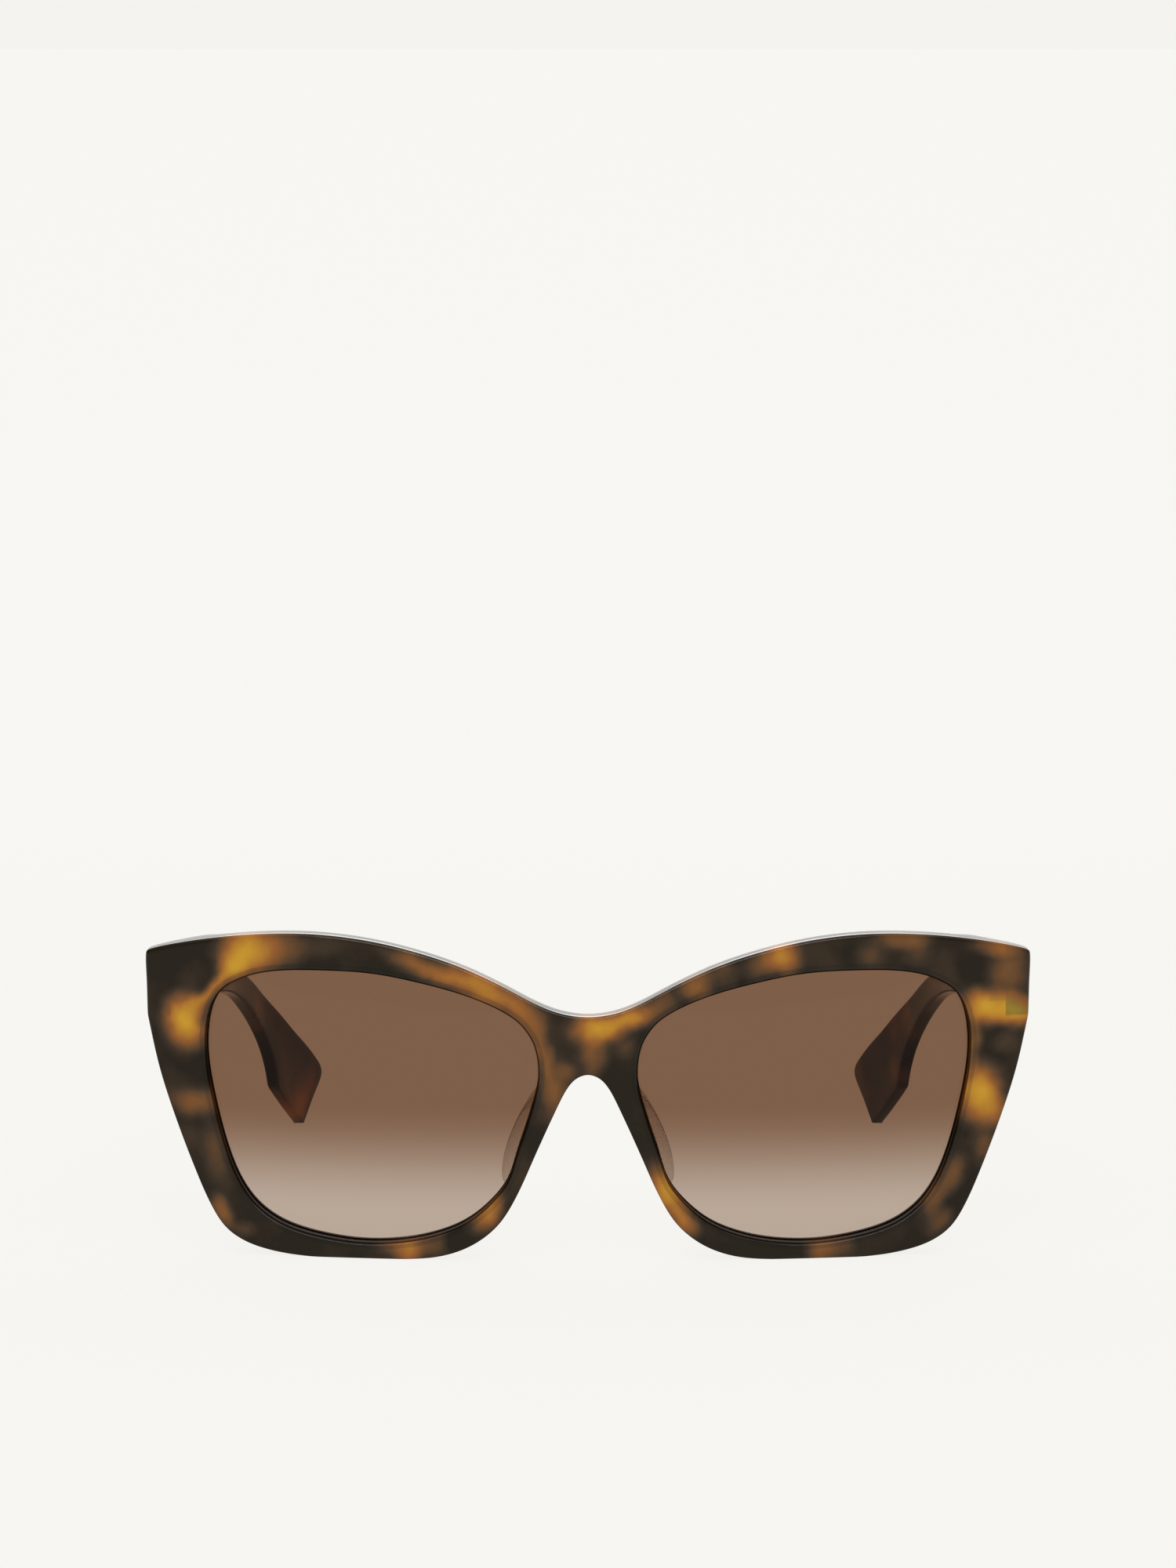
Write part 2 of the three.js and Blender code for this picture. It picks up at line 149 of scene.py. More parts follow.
# Amber patches of the front, with the wearer's right at -x: (x, z, half width, half height, turn in
# degrees, strength)
FRONT_PATCHES = (
    (-55.8, 50.6, 5.4, 4.8, 0, 1.0),
    (-49.5, 51.0, 3.6, 3.4, 0, 0.42),
    (-43.5, 52.0, 4.0, 2.6, 0, 0.22),
    (-58.8, 47.4, 3.2, 2.4, 50, 0.9),
    (-61.8, 44.4, 3.0, 1.3, 55, 0.72),
    (-64.0, 41.8, 2.4, 1.8, 40, 0.6),
    (-66.6, 38.3, 4.0, 5.0, 0, 1.0),
    (-64.6, 25.2, 5.6, 2.8, 0, 0.54),
    (-61.6, 17.0, 2.2, 6.0, 15, 0.27),
    (-66.5, 19.5, 2.0, 2.4, 0, 0.16),
    (-60.4, 6.8, 1.8, 3.3, 25, 0.52),
    (-57.0, 4.0, 2.0, 1.8, 0, 0.3),
    (-32.5, 2.5, 2.4, 2.2, 0, 0.3),
    (-29.2, 2.0, 3.0, 2.9, 0, 0.78),
    (-25.0, 2.6, 2.0, 2.6, 0, 0.3),
    (-16.4, 8.2, 2.4, 4.4, -32, 0.88),
    (-6.0, 28.6, 3.0, 5.8, 5, 0.6),
    (-7.6, 35.0, 1.9, 4.6, 12, 0.56),
    (-10.3, 40.8, 4.4, 2.9, -48, 0.66),
    (-17.0, 44.6, 7.2, 3.0, -28, 0.9),
    (-25.0, 47.6, 6.4, 2.3, -15, 0.72),
    (-30.5, 50.2, 4.0, 1.8, -10, 0.35),
    (0.8, 38.5, 4.4, 3.2, 0, 1.0),
    (6.2, 39.9, 5.6, 2.3, 18, 0.97),
    (0.9, 34.0, 2.5, 3.6, 0, 0.56),
    (-3.6, 31.5, 1.8, 1.8, 0, 0.3),
    (6.0, 35.5, 2.4, 2.4, 0, 0.25),
    (12.5, 42.3, 3.2, 2.6, 35, 0.4),
    (17.6, 45.5, 3.2, 2.8, 30, 0.66),
    (22.5, 47.6, 2.6, 2.2, 25, 0.34),
    (27.6, 48.6, 2.6, 2.4, 0, 0.45),
    (31.6, 50.0, 3.5, 3.6, 0, 0.9),
    (46.0, 50.0, 2.8, 2.4, 0, 0.27),
    (51.8, 52.6, 4.4, 1.9, 0, 0.48),
    (54.0, 50.4, 2.6, 2.3, 0, 0.24),
    (67.6, 50.7, 4.4, 1.6, -8, 0.62),
    (69.6, 47.0, 3.8, 4.2, 0, 0.48),
    (65.8, 41.1, 4.6, 3.1, 0, 0.98),
    (71.0, 40.0, 3.8, 3.0, -10, 0.94),
    (63.8, 35.2, 1.5, 4.4, 0, 0.5),
    (69.0, 35.0, 2.4, 2.0, 0, 0.26),
    (64.6, 26.6, 4.6, 5.4, 0, 1.0),
    (67.6, 23.2, 2.6, 3.0, 0, 0.55),
    (65.6, 18.0, 2.4, 3.2, 0, 0.36),
    (60.4, 13.4, 2.2, 3.4, -20, 0.44),
    (56.9, 9.6, 2.0, 4.2, -25, 0.5),
    (58.2, 5.6, 3.0, 2.2, 35, 0.38),
    (38.4, 1.9, 2.8, 2.6, 0, 0.62),
    (42.0, 2.2, 2.2, 2.2, 0, 0.28),
    (12.9, 11.4, 2.8, 5.2, 28, 1.0),
    (16.0, 6.6, 2.2, 3.0, 40, 0.72),
)
# The same for each temple: (depth, z, half length, half height, turn in degrees, strength)
TEMPLE_PATCHES = {
    "right": (
        (23.0, 43.0, 5.0, 3.4, -20, 0.9),
        (50.0, 41.0, 6.5, 3.2, -15, 1.0),
        (112.0, 27.5, 3.0, 3.0, -30, 0.4),
        (134.5, 4.0, 8.5, 5.0, 25, 0.64),
    ),
    "left": (
        (29.0, 46.0, 4.4, 2.6, -10, 0.95),
        (58.0, 41.5, 5.5, 2.6, -10, 0.95),
        (118.0, 23.0, 3.6, 3.6, -30, 0.42),
        (125.5, 12.5, 3.0, 4.0, 20, 0.5),
    ),
}


# ---------------------------------------------------------------- settings


class AcetateSettings(bpy.types.PropertyGroup):
    dark: FloatVectorProperty(
        name="Dark", description="Darkest brown of the tortoise pattern", subtype="COLOR",
        size=3, min=0, max=1, default=(0.01, 0.006, 0.001))
    umber: FloatVectorProperty(
        name="Umber", description="Dark brown that surrounds the patches", subtype="COLOR",
        size=3, min=0, max=1, default=(0.038, 0.022, 0.011))
    brown: FloatVectorProperty(
        name="Brown", description="Brown at the edges of the patches", subtype="COLOR",
        size=3, min=0, max=1, default=(0.123, 0.053, 0.016))
    orange: FloatVectorProperty(
        name="Orange", description="Orange brown inside the edges of the patches", subtype="COLOR",
        size=3, min=0, max=1, default=(0.26, 0.092, 0.017))
    gold: FloatVectorProperty(
        name="Gold", description="Golden brown of the weaker patches", subtype="COLOR",
        size=3, min=0, max=1, default=(0.43, 0.2, 0.016))
    amber: FloatVectorProperty(
        name="Amber", description="Colour of the brightest patches", subtype="COLOR",
        size=3, min=0, max=1, default=(0.61, 0.37, 0.022))
    roughness: FloatProperty(
        name="Roughness", description="Roughness of the polished surface", default=0.11, min=0, max=1)


class FrontSettings(bpy.types.PropertyGroup):
    plate: FloatProperty(
        name="Plate", description="Thickness of the front in mm", default=5.0, min=3, max=8)
    edge: FloatProperty(
        name="Edge", description="Radius of the upper edge in mm", default=0.6, min=0.1, max=1)
    low_edge: FloatProperty(
        name="Low edge", description="Radius of the lower edge in mm", default=0.22, min=0.1, max=1)
    lip: FloatProperty(
        name="Lip", description="Bevel round the lens opening in mm", default=0.5, min=0.1, max=1)


class LensSettings(bpy.types.PropertyGroup):
    top: FloatVectorProperty(
        name="Top tint", description="Light let through by each face at the top", subtype="COLOR",
        size=3, min=0, max=1, default=(0.47, 0.345, 0.265))
    bottom: FloatVectorProperty(
        name="Bottom tint", description="Light let through by each face at the bottom", subtype="COLOR",
        size=3, min=0, max=1, default=(0.73, 0.655, 0.60))
    fade_high: FloatProperty(
        name="Fade from", description="Height in mm where the tint starts to fade",
        default=26.0, min=0, max=50)
    fade_low: FloatProperty(
        name="Fade to", description="Height in mm where the tint is at its palest",
        default=7.0, min=0, max=50)
    thickness: FloatProperty(
        name="Thickness", description="Lens thickness in mm", default=2.0, min=1, max=3)
    bulge: FloatProperty(name="Bulge", description="Dish of the lens in mm", default=0.8, min=0, max=2)


class TempleSettings(bpy.types.PropertyGroup):
    thickness: FloatProperty(
        name="Thickness", description="Thickness at the butt in mm", default=3.8, min=2, max=5)
    edge: FloatProperty(
        name="Edge", description="Radius of the long edges in mm", default=0.7, min=0.2, max=1)


class HardwareSettings(bpy.types.PropertyGroup):
    barrel: FloatProperty(
        name="Barrel", description="Radius of the hinge barrels in mm", default=1.5, min=1, max=2)
    bevel: FloatProperty(
        name="Bevel", description="Softened edge of the hinge metal in mm", default=0.1, min=0, max=0.3)


class StageSettings(bpy.types.PropertyGroup):
    floor: FloatVectorProperty(
        name="Floor", description="Colour of the floor and its sweep", subtype="COLOR",
        size=3, min=0, max=1, default=(0.93, 0.922, 0.888))
    top_light: FloatProperty(
        name="Top light", description="Power of the softbox above", default=5.0, min=0,
        subtype="POWER", unit="POWER")
    back_light: FloatProperty(
        name="Back light", description="Power of the softbox behind", default=15.0, min=0,
        subtype="POWER", unit="POWER")
    front_light: FloatProperty(
        name="Front light", description="Power of the softbox in front", default=15.0, min=0,
        subtype="POWER", unit="POWER")


class SunglassesSettings(bpy.types.PropertyGroup):
    acetate: PointerProperty(type=AcetateSettings, name="Acetate", description="Tortoise acetate")
    front: PointerProperty(type=FrontSettings, name="Front", description="Front sizes")
    lens: PointerProperty(type=LensSettings, name="Lens", description="Lens sizes and tint")
    temple: PointerProperty(type=TempleSettings, name="Temple", description="Temple sizes")
    hardware: PointerProperty(type=HardwareSettings, name="Hardware", description="Hinge sizes")
    stage: PointerProperty(type=StageSettings, name="Stage", description="Floor and lights")


def settings():
    return bpy.context.scene.sunglasses


# ---------------------------------------------------------------- shaders


class Value:
    """A shader socket that takes part in Python expressions."""

    def __init__(self, shader, socket):
        self.shader = shader
        self.socket = socket

    def maths(self, operation, first, second):
        if self.socket.type in {"VECTOR", "RGBA"}:
            first, second = (v if isinstance(v, Value) else (v, v, v) for v in (first, second))
            return self.shader.add("ShaderNodeVectorMath", {"operation": operation}, {0: first, 1: second})
        return self.shader.add("ShaderNodeMath", {"operation": operation}, {0: first, 1: second})

    def __add__(self, other):
        return self.maths("ADD", self, other)

    __radd__ = __add__

    def __sub__(self, other):
        return self.maths("SUBTRACT", self, other)

    def __rsub__(self, other):
        return self.maths("SUBTRACT", other, self)

    def __mul__(self, other):
        return self.maths("MULTIPLY", self, other)

    __rmul__ = __mul__


class Shader:
    """One material, or the studio air, and the nodes that are added to it."""

    def __init__(self, name, kind="materials"):
        self.owner = getattr(bpy.data, kind).new(name)
        self.owner.use_nodes = True
        self.tree = self.owner.node_tree
        self.tree.nodes.clear()

    def add(self, kind, options=None, inputs=None, output=0):
        """Adds a node: its options are set first, then its sockets, and one output comes back."""
        node = self.tree.nodes.new(kind)
        for key, value in (options or {}).items():
            if key == "stops":
                self.set_stops(node.color_ramp, value)
            else:
                setattr(node, key, value)
        for key, value in (inputs or {}).items():
            if isinstance(value, Value):
                self.tree.links.new(value.socket, node.inputs[key])
            else:
                node.inputs[key].default_value = value
        return Value(self, node.outputs[output])

    @staticmethod
    def set_stops(ramp, stops):
        while len(ramp.elements) < len(stops):
            ramp.elements.new(0.5)
        for element, (position, colour) in zip(ramp.elements, stops):
            element.position = position
            element.color = (*colour, 1)

    def millimetres(self):
        """Place on the piece in millimetres, with the frame's own axes."""
        place = self.add("ShaderNodeTexCoord", output="Object")
        return place * (1 / MM)

    def noise(self, place, size, detail=2.0, roughness=0.5, output="Fac"):
        """Smooth noise with features about `size` millimetres across."""
        return self.add(
            "ShaderNodeTexNoise", {"noise_dimensions": "3D"},
            {"Vector": place, "Scale": 1 / size, "Detail": detail, "Roughness": roughness}, output)

    def smooth(self, value, low, high, start=0.0, end=1.0):
        return self.add(
            "ShaderNodeMapRange", {"interpolation_type": "SMOOTHSTEP"},
            {"Value": value, "From Min": low, "From Max": high, "To Min": start, "To Max": end})

    def mix(self, share, first, second, blend="MIX"):
        """Mixes two colours by a share, each a socket or three numbers."""
        first, second = (c if isinstance(c, Value) else (*c, 1) for c in (first, second))
        return self.add(
            "ShaderNodeMix", {"data_type": "RGBA", "blend_type": blend}, {0: share, 6: first, 7: second}, 2)

    def bump(self, height, strength, distance):
        """Fine relief of `distance` metres from a height map."""
        return self.add(
            "ShaderNodeBump", None, {"Strength": strength, "Distance": distance, "Height": height}, "Normal")

    def finish(self, surface, kind="ShaderNodeOutputMaterial"):
        node = self.tree.nodes.new(kind)
        self.tree.links.new(surface.socket, node.inputs["Surface"])
        return self.owner


OLIVE_PAINTED_SHADE = (0.5, 0.62, 0.95)  # painted shade: what is left of the colour over hidden metal or the lens edge, where they would block the light through the amber
# Painted shade: the dark colours of the cut acetate stand for the shade in the lens opening.
CUT_SHADE_DARK, CUT_SHADE_AMBER = (0.003, 0.0015, 0.0008), (0.1, 0.035, 0.004)
# The second colour here is a painted dark shade for clear acetate seen edge-on.
CLEAR_TINT, CLEAR_EDGE_SHADE = (0.95, 0.92, 0.88), (0.2, 0.12, 0.07)


def tortoise_surface(shader, place, mask, shade=None):
    """Polished acetate, from the share of amber at each place, with a painted shade where hidden parts
    behind it would dim the light through it.
    """
    look = settings().acetate
    haze = shader.smooth(shader.noise(place, 9.0, 1.5), 0.35, 0.75, 0.0, 0.14)
    mottle = shader.noise(place, 1.4, 3.0) - 0.5
    share = mask + haze * (1 - mask) + mottle * 0.06
    tones = (look.dark, look.umber, look.brown, look.orange, look.gold, look.amber)
    stops = tuple(zip((0.03, 0.2, 0.4, 0.58, 0.76, 0.94), (tuple(tone) for tone in tones)))
    colour = shader.add("ShaderNodeValToRGB", {"stops": stops}, {"Fac": share})
    # Painted shade: the colour is dimmed where hidden parts would block the light through the sheet.
    if shade is not None:
        colour = shader.mix(shade, colour, OLIVE_PAINTED_SHADE, "MULTIPLY")
    polish = shader.noise(place, 2.5, 4.0, 0.6)
    ripple = shader.noise(place, 9.0, 2.0)
    return shader.add("ShaderNodeBsdfPrincipled", None, {
        "Base Color": colour,
        "Roughness": polish * 0.06 + (look.roughness - 0.03),
        "IOR": 1.47,
        "Specular IOR Level": 0.2,
        "Normal": shader.bump(ripple, 0.05, 0.0002),
    })


THROUGH = 90  # mm that a patch reaches through the sheet, so its faces never end it


def patch_mask(shader, place, patches, across):
    """Share of amber from soft elliptic patches that go right through, along the axis `across`."""
    drift = shader.noise(place, 6.0, 2.0, output="Color") - 0.5
    place = place + drift * 2.6
    empty = None
    for first, second, long, wide, turn, strength in patches:
        if across == "Y":
            spot, sizes = (first, 0, second), (long, THROUGH, wide)
            turned_by = (0, -math.radians(turn), 0)
        else:
            spot, sizes = (0, first + FRONT_PLANE, second), (THROUGH, long, wide)
            turned_by = (math.radians(turn), 0, 0)
        local = shader.add(
            "ShaderNodeMapping", {"vector_type": "TEXTURE"},
            {"Vector": place, "Location": spot, "Rotation": turned_by, "Scale": sizes})
        away = shader.add("ShaderNodeVectorMath", {"operation": "LENGTH"}, {0: local}, "Value")
        left = shader.smooth(away, 0.4, 1.6, 1 - strength, 1.0)
        empty = left if empty is None else empty * left
    return 1 - empty


def front_acetate():
    """The front's sheet, with a painted olive shade where the hinge plate and the butt behind it would block
    the light through the amber.
    """
    return front_sheet("tortoise_front", 0.0)


def groove_shaded_acetate():
    """The same sheet over the lens groove, with a painted shade along it where the edge of the lens behind
    would block the light through the amber.
    """
    return front_sheet("tortoise_over_groove_shaded", 0.55)


def front_sheet(name, groove):
    shader = Shader(name)
    place = shader.millimetres()
    parts = [
        shader.add("ShaderNodeSeparateXYZ", None, {"Vector": place}, axis) for axis in ("X", "Z")]
    side = shader.add("ShaderNodeMath", {"operation": "ABSOLUTE"}, {0: parts[0]})
    # Painted shade over the hidden metal: the temple butt, and the hinge plate at less strength, where the
    # sheet is amber.
    butt = shader.smooth(side, 68.9, 69.3) * shader.smooth(parts[1], 39.2, 39.7)
    plate = shader.smooth(side, 66.0, 66.4) * shader.smooth(parts[1], 41.7, 42.2) * 0.45
    mask = patch_mask(shader, place, FRONT_PATCHES, "Y")
    behind = (1 - (1 - butt) * (1 - plate)) * shader.smooth(mask, 0.3, 0.8)
    # groove adds a painted shade along the lens opening to the painted shade over the metal.
    shade = 1 - (1 - behind) * (1 - groove)
    return shader.finish(tortoise_surface(shader, place, mask, shade))


def shaded_cut_acetate():
    """Unpolished acetate in the lens opening: dull from the cutter, and dark from a painted shade in that
    recess.
    """
    shader = Shader("tortoise_cut_shaded")
    place = shader.millimetres()
    amber = patch_mask(shader, place, FRONT_PATCHES, "Y")
    marks = shader.noise(place, 0.5, 3.0, 0.6)
    return shader.finish(shader.add("ShaderNodeBsdfPrincipled", None, {
        "Base Color": shader.mix(amber + (marks - 0.5) * 0.2, CUT_SHADE_DARK, CUT_SHADE_AMBER),
        "Roughness": marks * 0.2 + 0.4,
        "Specular IOR Level": 0.05,
        "Normal": shader.bump(marks, 0.3, 0.00004),
    }))


def temple_acetate(word):
    """The same acetate sheet, with clouds of amber that fade out towards the tip."""
    shader = Shader(f"tortoise_temple_{word}")
    place = shader.millimetres()
    through = shader.add("ShaderNodeVectorMath", {"operation": "MULTIPLY"}, {0: place, 1: (0.3, 1, 1)})
    depth = shader.add("ShaderNodeSeparateXYZ", None, {"Vector": place}, "Y") - FRONT_PLANE
    clouds = shader.smooth(shader.noise(through, 10.0, 2.0, 0.45), 0.47, 0.7)
    clouds = clouds * shader.smooth(depth, 55, 100, 1, 0.25)
    patches = patch_mask(shader, place, TEMPLE_PATCHES[word], "X")
    return shader.finish(tortoise_surface(shader, place, 1 - (1 - patches) * (1 - clouds)))


def mirror_share(shader, head_on):
    """How much a clear face mirrors, from head-on to edge-on, and the same from both sides."""
    facing = shader.add("ShaderNodeLayerWeight", None, {"Blend": 0.5}, "Facing")
    rise = shader.add("ShaderNodeMath", {"operation": "POWER"}, {0: facing, 1: 5.0})
    return rise * (1 - head_on) + head_on


def clear_acetate():
    """Clear acetate: nearly all light goes straight through; where it is seen edge-on it mixes in a painted
    dark shade that stands in for the light bent away at its edges.
    """
    shader = Shader("clear_acetate")
    place = shader.millimetres()
    facing = shader.add("ShaderNodeLayerWeight", None, {"Blend": 0.5}, "Facing")
    # Painted shade: the dark body takes over where the pad is seen edge-on.
    edge = shader.smooth(facing, 0.5, 0.92, 0.07, 0.92)
    bump = shader.bump(shader.noise(place, 3.0, 2.0), 0.08, 0.0002)
    through = shader.add("ShaderNodeBsdfTransparent", None, {"Color": (*CLEAR_TINT, 1)})
    body = shader.add("ShaderNodeBsdfPrincipled", None, {
        "Base Color": (*CLEAR_EDGE_SHADE, 1), "Roughness": 0.15, "IOR": 1.47, "Normal": bump})
    inside = shader.add("ShaderNodeMixShader", None, {0: edge, 1: through, 2: body})
    mirror = shader.add(
        "ShaderNodeBsdfGlossy", None, {"Color": (1, 1, 1, 1), "Roughness": 0.05, "Normal": bump})
    gloss = mirror_share(shader, 0.03)
    return shader.finish(shader.add("ShaderNodeMixShader", None, {0: gloss, 1: inside, 2: mirror}))


def lens_tint():
    """A tinted pane: each face lets a share of the light through, paler towards the bottom."""
    look = settings().lens
    shader = Shader("gradient_lens")
    place = shader.millimetres()
    height = shader.add("ShaderNodeSeparateXYZ", None, {"Vector": place}, "Z")
    pale = shader.smooth(height, look.fade_low, look.fade_high, 1.0, 0.0)
    through = [
        shader.add("ShaderNodeBsdfTransparent", None, {"Color": (*tint, 1)})
        for tint in (look.top, look.bottom)]
    body = shader.add("ShaderNodeMixShader", None, {0: pale, 1: through[0], 2: through[1]})
    mirror = shader.add("ShaderNodeBsdfGlossy", None, {"Color": (0.9, 0.9, 0.9, 1), "Roughness": 0.02})
    gloss = mirror_share(shader, 0.008)
    return shader.finish(shader.add("ShaderNodeMixShader", None, {0: gloss, 1: body, 2: mirror}))


def metal(name, colour, roughness, brush):
    """Nickel silver or steel, with the fine marks of tumbling."""
    shader = Shader(name)
    place = shader.millimetres()
    stretched = shader.add("ShaderNodeVectorMath", {"operation": "MULTIPLY"}, {0: place, 1: brush})
    marks = shader.noise(stretched, 0.4, 4.0, 0.6)
    return shader.finish(shader.add("ShaderNodeBsdfPrincipled", None, {
        "Base Color": (*colour, 1),
        "Metallic": 1.0,
        "Roughness": marks * 0.16 + (roughness - 0.08),
        "Normal": shader.bump(marks, 0.12, 0.00002),
    }))


# ---------------------------------------------------------------- curves and surfaces


def through_points(points, steps, closed=False):
    """A smooth curve through the points, with `steps` samples from each point to the next."""
    points = np.array(points, dtype=float)
    if closed:
        run = np.vstack([points[-1:], points, points[:2]])
    else:
        run = np.vstack([2 * points[0] - points[1], points, 2 * points[-1] - points[-2]])
    samples = []
    for p0, p1, p2, p3 in zip(run, run[1:], run[2:], run[3:]):
        gaps = [math.sqrt(np.linalg.norm(b - a)) or 1.0 for a, b in ((p0, p1), (p1, p2), (p2, p3))]
        start = ((p1 - p0) / gaps[0] - (p2 - p0) / (gaps[0] + gaps[1]) + (p2 - p1) / gaps[1]) * gaps[1]
        end = ((p2 - p1) / gaps[1] - (p3 - p1) / (gaps[1] + gaps[2]) + (p3 - p2) / gaps[2]) * gaps[1]
        for t in np.arange(steps) / steps:
            samples.append(
                (2 * t**3 - 3 * t**2 + 1) * p1 + (t**3 - 2 * t**2 + t) * start
                + (3 * t**2 - 2 * t**3) * p2 + (t**3 - t**2) * end)
    if not closed:
        samples.append(points[-1])
    return np.array(samples)


def smoothstep(value, low, high):
    t = np.clip((value - low) / (high - low), 0, 1)
    return t * t * (3 - 2 * t)


def front_depth(x):
    return x * x / (2 * FRONT_RADIUS)


def back_depth(x, z):
    """The back follows the front face, and is flat where the temple meets it."""
    seat = smoothstep(x, *SEAT_RAMP[0]) * smoothstep(z, *SEAT_RAMP[1])
    return (front_depth(x) + settings().front.plate) * (1 - seat) + SEAT * seat


def sideways(outline, distance, closed):
    """Each point of an outline moved to the left of its direction."""
    ahead = np.roll(outline, -1, axis=0)
    behind = np.roll(outline, 1, axis=0)
    along = ahead - behind
    if not closed:
        along[0] = (1, 0)
        along[-1] = (-1, 0)
    along /= np.linalg.norm(along, axis=1)[:, None]
    return outline + np.reshape(distance, (-1, 1)) * np.column_stack([-along[:, 1], along[:, 0]])


def relaxed(outline, times, closed):
    """Evens out the bend of an outline from sample to sample."""
    for _ in range(times):
        mean = (np.roll(outline, 1, axis=0) + 2 * outline + np.roll(outline, -1, axis=0)) / 4
        if not closed:
            mean[[0, -1]] = outline[[0, -1]]
        outline = mean
    return outline


class Skin:
    """Collects bands of quads between rows of points, and makes one closed mesh of them."""

    def __init__(self):
        self.points = []
        self.faces = []
        self.finishes = []

    def bands(self, rows, closed, finish=0):
        count = len(rows[0])
        start = len(self.points)
        for row in rows:
            self.points.extend(tuple(p) for p in row)
        for r in range(len(rows) - 1):
            for i in range(count if closed else count - 1):
                a = start + r * count + i
                b = start + r * count + (i + 1) % count
                self.faces.append((a, a + count, b + count, b))
                self.finishes.append(finish)

    def fill(self, ring):
        """One face over a ring of points."""
        start = len(self.points)
        self.points.extend(tuple(p) for p in ring)
        self.faces.append(tuple(range(start, start + len(ring))))
        self.finishes.append(0)

    def mesh(self, name, side=1, both=False):
        """The mesh in metres, on one side or on both."""
        points = np.array(self.points)
        points[:, 1] += FRONT_PLANE
        faces = list(self.faces)
        finishes = list(self.finishes)
        if both:
            finishes *= 2
            count = len(points)
            faces += [tuple(count + i for i in reversed(face)) for face in self.faces]
            points = np.vstack([points, points * (-1, 1, 1)])
        elif side < 0:
            points = points * (-1, 1, 1)
            faces = [tuple(reversed(face)) for face in faces]
        data = bpy.data.meshes.new(name)
        data.from_pydata((points * MM).tolist(), [], faces)
        data.polygons.foreach_set("material_index", finishes)
        work = bmesh.new()
        work.from_mesh(data)
        bmesh.ops.remove_doubles(work, verts=work.verts, dist=1e-6)
        bmesh.ops.recalc_face_normals(work, faces=work.faces)
        work.to_mesh(data)
        work.free()
        return data


CREASE = math.radians(35)  # faces that meet at more than this keep a sharp edge


def place_piece(name, data, body, materials, replaced):
    """Puts a finished mesh in the scene as a piece of the sunglasses."""
    piece = bpy.data.objects.new(name, data)
    bpy.context.scene.collection.objects.link(piece)
    numbers = [polygon.material_index for polygon in data.polygons]
    data.materials.clear()
    for material in materials:
        data.materials.append(material)
    data.polygons.foreach_set("material_index", [min(n, len(materials) - 1) for n in numbers])
    data.shade_smooth()
    data.set_sharp_from_angle(angle=CREASE)
    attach(piece, body)
    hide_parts(*replaced)


def with_modifiers(name, data, steps):
    """The mesh after a list of (modifier type, options)."""
    holder = bpy.data.objects.new(name, data)
    bpy.context.scene.collection.objects.link(holder)
    for kind, options in steps:
        modifier = holder.modifiers.new(kind.title(), kind)
        for key, value in options.items():
            setattr(modifier, key, value)
    depsgraph = bpy.context.evaluated_depsgraph_get()
    result = bpy.data.meshes.new_from_object(holder.evaluated_get(depsgraph))
    bpy.data.objects.remove(holder)
    return result


def joined(name, base, tools, operation):
    """Cuts or joins closed meshes."""
    holders = []
    for tool in tools:
        holder = bpy.data.objects.new(name + "_tool", tool)
        bpy.context.scene.collection.objects.link(holder)
        holders.append(holder)
    steps = [("BOOLEAN", {"operation": operation, "solver": "MANIFOLD", "object": h}) for h in holders]
    result = with_modifiers(name, base, steps)
    for holder in holders:
        bpy.data.objects.remove(holder)
    return result


def block(name, low, high, side, round_by=0.0):
    """A block between two corners (x, depth, z) in millimetres, with its edges rounded if asked."""
    work = bmesh.new()
    bmesh.ops.create_cube(work, size=1.0)
    size = [h - l for l, h in zip(low, high)]
    centre = [(l + h) / 2 for l, h in zip(low, high)]
    bmesh.ops.scale(work, vec=size, verts=work.verts)
    if round_by:
        bmesh.ops.bevel(
            work, geom=work.edges[:], offset=round_by, segments=3, affect="EDGES", profile=0.5)
    bmesh.ops.translate(work, vec=centre, verts=work.verts)
    return settled(name, work, side)


def settled(name, work, side):
    """Turns a bmesh in (x, depth, z) millimetres into a mesh in metres on one side."""
    bmesh.ops.translate(work, vec=(0, FRONT_PLANE, 0), verts=work.verts)
    bmesh.ops.scale(work, vec=(MM * side, MM, MM), verts=work.verts)
    bmesh.ops.recalc_face_normals(work, faces=work.faces)
    data = bpy.data.meshes.new(name)
    work.to_mesh(data)
    work.free()
    return data


def turned(name, profile, side):
    """A shape turned about the hinge axis from (radius, z) points that start and end on the axis."""
    segments = 64
    work = bmesh.new()
    rings = []
    for radius, z in profile:
        if radius == 0:
            rings.append([work.verts.new((AXIS[0], AXIS[1], z))])
            continue
        angles = np.arange(segments) * 2 * math.pi / segments
        rings.append([
            work.verts.new((AXIS[0] + radius * math.cos(a), AXIS[1] + radius * math.sin(a), z))
            for a in angles])
    for low, high in zip(rings, rings[1:]):
        for i in range(segments):
            j = (i + 1) % segments
            corners = [low[i % len(low)], low[j % len(low)], high[j % len(high)], high[i % len(high)]]
            work.faces.new(list(dict.fromkeys(corners)))
    return settled(name, work, side)


# ---------------------------------------------------------------- front and lenses

STATIONS = 6  # samples between two outline points


